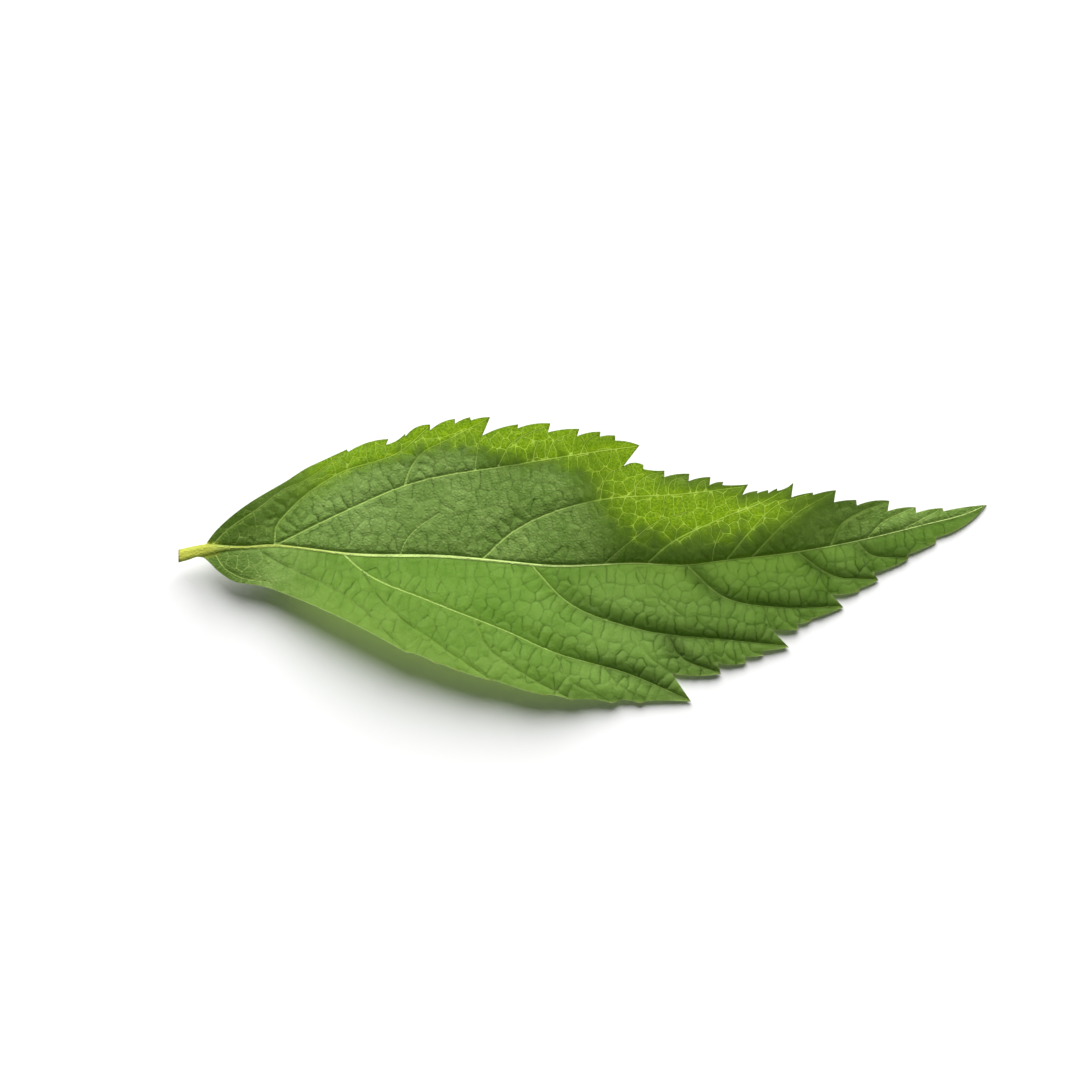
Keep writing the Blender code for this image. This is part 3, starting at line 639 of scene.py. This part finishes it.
# Painted shade in the light that comes through the creases and the shaded flanks
BACKLIT_CREASE_SHADE = (0.14, 0.24, 0.01, 1)
BACKLIT_EVEN = (0.62, 0.78, 0.31, 1)
BLADE_THROUGH = 0.42
YOUNG_THROUGH = 0.7
VEIN_THROUGH = 0.25
BACKLIT_VEIN_THROUGH = 0.95

material = bpy.data.materials.new("fresh_leaf")
material.use_nodes = True
nodes, links = material.node_tree.nodes, material.node_tree.links
shader = nodes["Principled BSDF"]


def add(kind, **settings):
    """Add one node to the leaf's material."""
    node = nodes.new(kind)
    for name, value in settings.items():
        setattr(node, name, value)
    return node


def attribute(name):
    """Read one of the numbers kept on the mesh."""
    return add("ShaderNodeAttribute", attribute_name=name).outputs["Fac"]


def ramp(value, low, high, start=0.0, end=1.0):
    """Go smoothly from start to end while the value goes from low to high."""
    node = add("ShaderNodeMapRange", interpolation_type="SMOOTHSTEP")
    links.new(value, node.inputs["Value"])
    for socket, number in (("From Min", low), ("From Max", high), ("To Min", start), ("To Max", end)):
        node.inputs[socket].default_value = number
    return node.outputs["Result"]


def combine(operation, first, second):
    """Do one sum on two numbers."""
    node = add("ShaderNodeMath", operation=operation)
    for socket, value in zip(node.inputs, (first, second)):
        if isinstance(value, float):
            socket.default_value = value
        else:
            links.new(value, socket)
    return node.outputs[0]


def blend(factor, first, second):
    """Mix two colours; the factor is the second one's share."""
    node = add("ShaderNodeMix", data_type="RGBA")
    sockets = [node.inputs[0], node.inputs[6], node.inputs[7]]
    for socket, value in zip(sockets, (factor, first, second)):
        if isinstance(value, (tuple, float)):
            socket.default_value = value
        else:
            links.new(value, socket)
    return node.outputs[2]


def mix_numbers(factor, first, second):
    """Mix two numbers; the factor is the second one's share."""
    node = add("ShaderNodeMix", data_type="FLOAT")
    for socket, value in zip((node.inputs[0], node.inputs[2], node.inputs[3]), (factor, first, second)):
        if isinstance(value, float):
            socket.default_value = value
        else:
            links.new(value, socket)
    return node.outputs[0]


place = add("ShaderNodeTexCoord").outputs["Object"]


def speckle(scale, detail=2.0):
    """Soft random flecks; the scale is how many there are to a metre."""
    node = add("ShaderNodeTexNoise")
    links.new(place, node.inputs["Vector"])
    node.inputs["Scale"].default_value = scale
    node.inputs["Detail"].default_value = detail
    return node.outputs["Fac"]


cells = add("ShaderNodeTexVoronoi", feature="DISTANCE_TO_EDGE")
links.new(place, cells.inputs["Vector"])
cells.inputs["Scale"].default_value = 2300

# Where the strands, their grooves and the net lie, and the grain of the tissue between them; the grooves and
# creases carry painted shade
midrib = ramp(attribute("rib"), 0.55, 0.95, 1, 0)
strand = combine("MULTIPLY", ramp(attribute("strand"), -0.03, 0.03, 1, 0), attribute("paleness"))
strand = combine("MAXIMUM", midrib, strand)
broken = combine("MULTIPLY", ramp(speckle(650), 0.36, 0.54, 0.35, 1.0), attribute("net_depth"))
groove_shade = combine("MULTIPLY", ramp(attribute("net"), 0.0, 0.17, 1, 0), broken)
darkness = combine("SUBTRACT", 1.0, attribute("paleness"))
vein_groove_shade = ramp(combine("ADD", attribute("strand"), combine("MULTIPLY", darkness, 0.07)), 0.0, 0.13, 1, 0)
stitched = combine("MAXIMUM", attribute("paleness"), ramp(speckle(420), 0.42, 0.56, 0.25, 1.0))
groove_shade = combine("MAXIMUM", groove_shade, combine("MULTIPLY", vein_groove_shade, stitched))
# Painted shade: a dark band just outside the midrib
groove_shade = combine("MAXIMUM", groove_shade, ramp(attribute("rib"), 1.0, 1.8, 0.8, 0))
groove_shade = combine("MULTIPLY", groove_shade, ramp(attribute("quilt"), 0.01, 0.13, 0.6, 1.0))
cell_wall = ramp(attribute("net"), 0.015, 0.08, 1, 0)
net = combine("MULTIPLY", cell_wall, attribute("netted"))
edge = ramp(attribute("margin"), 0.02, 0.11, 0.7, 0)
fine = ramp(cells.outputs["Distance"], 0.04, 0.34, 1, 0)
grain = ramp(speckle(3200, 1.0), 0.38, 0.62)
mottle = combine("ADD", combine("MULTIPLY", speckle(260), 0.5), combine("MULTIPLY", speckle(1500, 3.0), 0.5))

# The colour of each face
green = blend(ramp(mottle, 0.38, 0.64), DEEP_GREEN, BLADE_GREEN)
# Painted light: paler patches that lighten the blade where it lies in shade
green = blend(attribute("pale"), green, PAINTED_LIGHT_GREEN)
green = blend(combine("MULTIPLY", fine, 0.35), green, DEEP_GREEN)
# Painted shade: darker beside the lower veins, in the fold above the midrib, and towards the stalk
green = blend(combine("MULTIPLY", attribute("flank"), 0.45), green, SHADED_GREEN)
green = blend(ramp(attribute("length"), 7.0, 13.0, 0.62, 0), green, SHADED_GREEN)
base_net = combine("MULTIPLY", cell_wall, ramp(attribute("length"), 9.0, 14.0, 0.7, 0))
green = blend(base_net, green, VEIN_GREEN)
green = blend(combine("MULTIPLY", grain, 0.12), green, VEIN_GREEN)
# Painted shade: the creases of the net, the grooves beside the veins and the band by the midrib are darkened
green = blend(combine("MULTIPLY", groove_shade, 0.62), green, CREASE_SHADE_GREEN)
green = blend(strand, green, VEIN_GREEN)
green = blend(midrib, green, RIB_GREEN)
green = blend(edge, green, EDGE_GREEN)
green = blend(ramp(attribute("tooth_tip"), 0.1, 0.35, 0.8, 0), green, TOOTH_BROWN)
yellowed = combine("MULTIPLY", midrib, ramp(attribute("length"), 8.0, 30.0, 0.8, 0))
green = blend(yellowed, green, RIB_YELLOW)
green = blend(attribute("stalk"), green, STALK_GREEN)
green = blend(ramp(attribute("length"), 0.02, 0.3, 0.8, 0), green, TOOTH_BROWN)
links.new(green, shader.inputs["Base Color"])
shader.inputs["Roughness"].default_value = 0.55
shader.inputs["Specular IOR Level"].default_value = 0.1

# The colour of the light that comes through
through = blend(fine, BACKLIT_FLECK, BACKLIT_GREEN)
specks = combine("MULTIPLY", grain, ramp(attribute("netted"), 0.0, 1.0, 0.2, 0.65))
through = blend(specks, through, BACKLIT_DARK)
through = blend(attribute("netted"), BACKLIT_EVEN, through)
# Painted shade in the light that comes through: darker beside the lower veins, in the fold and in the creases
through = blend(combine("MULTIPLY", attribute("flank"), 0.5), through, BACKLIT_CREASE_SHADE)
crease_shade = combine("MULTIPLY", groove_shade, ramp(attribute("netted"), 0.0, 0.4, 0.5, 0.85))
through = blend(crease_shade, through, BACKLIT_CREASE_SHADE)
through = blend(attribute("young"), BACKLIT_THICK, through)
through = blend(combine("MAXIMUM", strand, combine("MULTIPLY", net, 0.85)), through, BACKLIT_VEIN)
glow = add("ShaderNodeBsdfTranslucent")
links.new(through, glow.inputs["Color"])

# The faces are finely pitted, less than a tenth of a millimetre deep
height = combine("ADD", combine("MULTIPLY", speckle(1400, 3.0), 0.25), combine("MULTIPLY", fine, -0.6))
bump = add("ShaderNodeBump")
bump.inputs["Strength"].default_value = 0.9
bump.inputs["Distance"].default_value = 0.00008
links.new(height, bump.inputs["Height"])
links.new(bump.outputs["Normal"], shader.inputs["Normal"])

# Young tissue and backlit veins pass more of the light, old tissue and other veins less
mix = add("ShaderNodeMixShader")
by_age = ramp(attribute("young"), 0.0, 1.0, BLADE_THROUGH, YOUNG_THROUGH)
vein_by_age = ramp(attribute("netted"), 0.0, 1.0, VEIN_THROUGH, BACKLIT_VEIN_THROUGH)
vein_by_age = mix_numbers(midrib, vein_by_age, VEIN_THROUGH)
share = mix_numbers(combine("MAXIMUM", strand, net), by_age, vein_by_age)
links.new(mix_numbers(edge, share, VEIN_THROUGH), mix.inputs[0])
links.new(shader.outputs[0], mix.inputs[1])
links.new(glow.outputs[0], mix.inputs[2])
links.new(mix.outputs[0], nodes["Material Output"].inputs["Surface"])
mesh.materials.append(material)

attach(leaf, "root")
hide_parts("leaf")


# The table
# A plain white surface that the leaf lies on, wide enough to fill the view from any side.
bpy.ops.mesh.primitive_plane_add(size=4)
table = bpy.context.object
table.name = "table"
table_material = bpy.data.materials.new("white_table")
table_material.use_nodes = True
table_shader = table_material.node_tree.nodes["Principled BSDF"]
table_shader.inputs["Base Color"].default_value = (0.9, 0.9, 0.9, 1)
table_shader.inputs["Roughness"].default_value = 0.9
table_shader.inputs["Specular IOR Level"].default_value = 0.0
table.data.materials.append(table_material)
table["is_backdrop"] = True


# The light
# One large soft window of light beyond the leaf's upper half, half way up, and a weak even fill.
LIGHT_ELEVATION = math.radians(40)
LIGHT_DISTANCE = 2.0
window = bpy.data.lights.new("window", "AREA")
window.shape = "DISK"
window.size = 1.9
window.energy = 86
window_object = bpy.data.objects.new("window", window)
towards = Vector((0.0, math.cos(LIGHT_ELEVATION), math.sin(LIGHT_ELEVATION))).normalized()
window_object.location = towards * LIGHT_DISTANCE
window_object.rotation_euler = towards.to_track_quat("Z", "Y").to_euler()
window_object.visible_camera = False
bpy.context.scene.collection.objects.link(window_object)
world = bpy.data.worlds.new("fill")
world.use_nodes = True
world.node_tree.nodes["Background"].inputs["Color"].default_value = (1, 1, 1, 1)
world.node_tree.nodes["Background"].inputs["Strength"].default_value = 0.08
bpy.context.scene.world = world
bpy.context.scene.view_settings.view_transform = "Standard"


# The camera
# It hangs straight above the leaf with a long lens; the leaf lies a little right of the middle.
PHOTO_SIDE = 1080
PIXELS_PER_MM = 8
FOOTPRINT_CENTRE_PIXEL = (583.2, 560.4)
CAMERA_HEIGHT = 1.2
camera = bpy.data.cameras.new("camera")
camera.sensor_width = 36
camera.lens = camera.sensor_width * CAMERA_HEIGHT / (PHOTO_SIDE / PIXELS_PER_MM * MM)
camera.clip_end = 20
camera_object = bpy.data.objects.new("camera", camera)
camera_object.location = (
    (PHOTO_SIDE / 2 - FOOTPRINT_CENTRE_PIXEL[0]) / PIXELS_PER_MM * MM,
    (FOOTPRINT_CENTRE_PIXEL[1] - PHOTO_SIDE / 2) / PIXELS_PER_MM * MM,
    CAMERA_HEIGHT,
)
bpy.context.scene.collection.objects.link(camera_object)
bpy.context.scene.camera = camera_object

[[list(map(float, corner)) for corner in box] for box in (solid_box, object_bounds())]
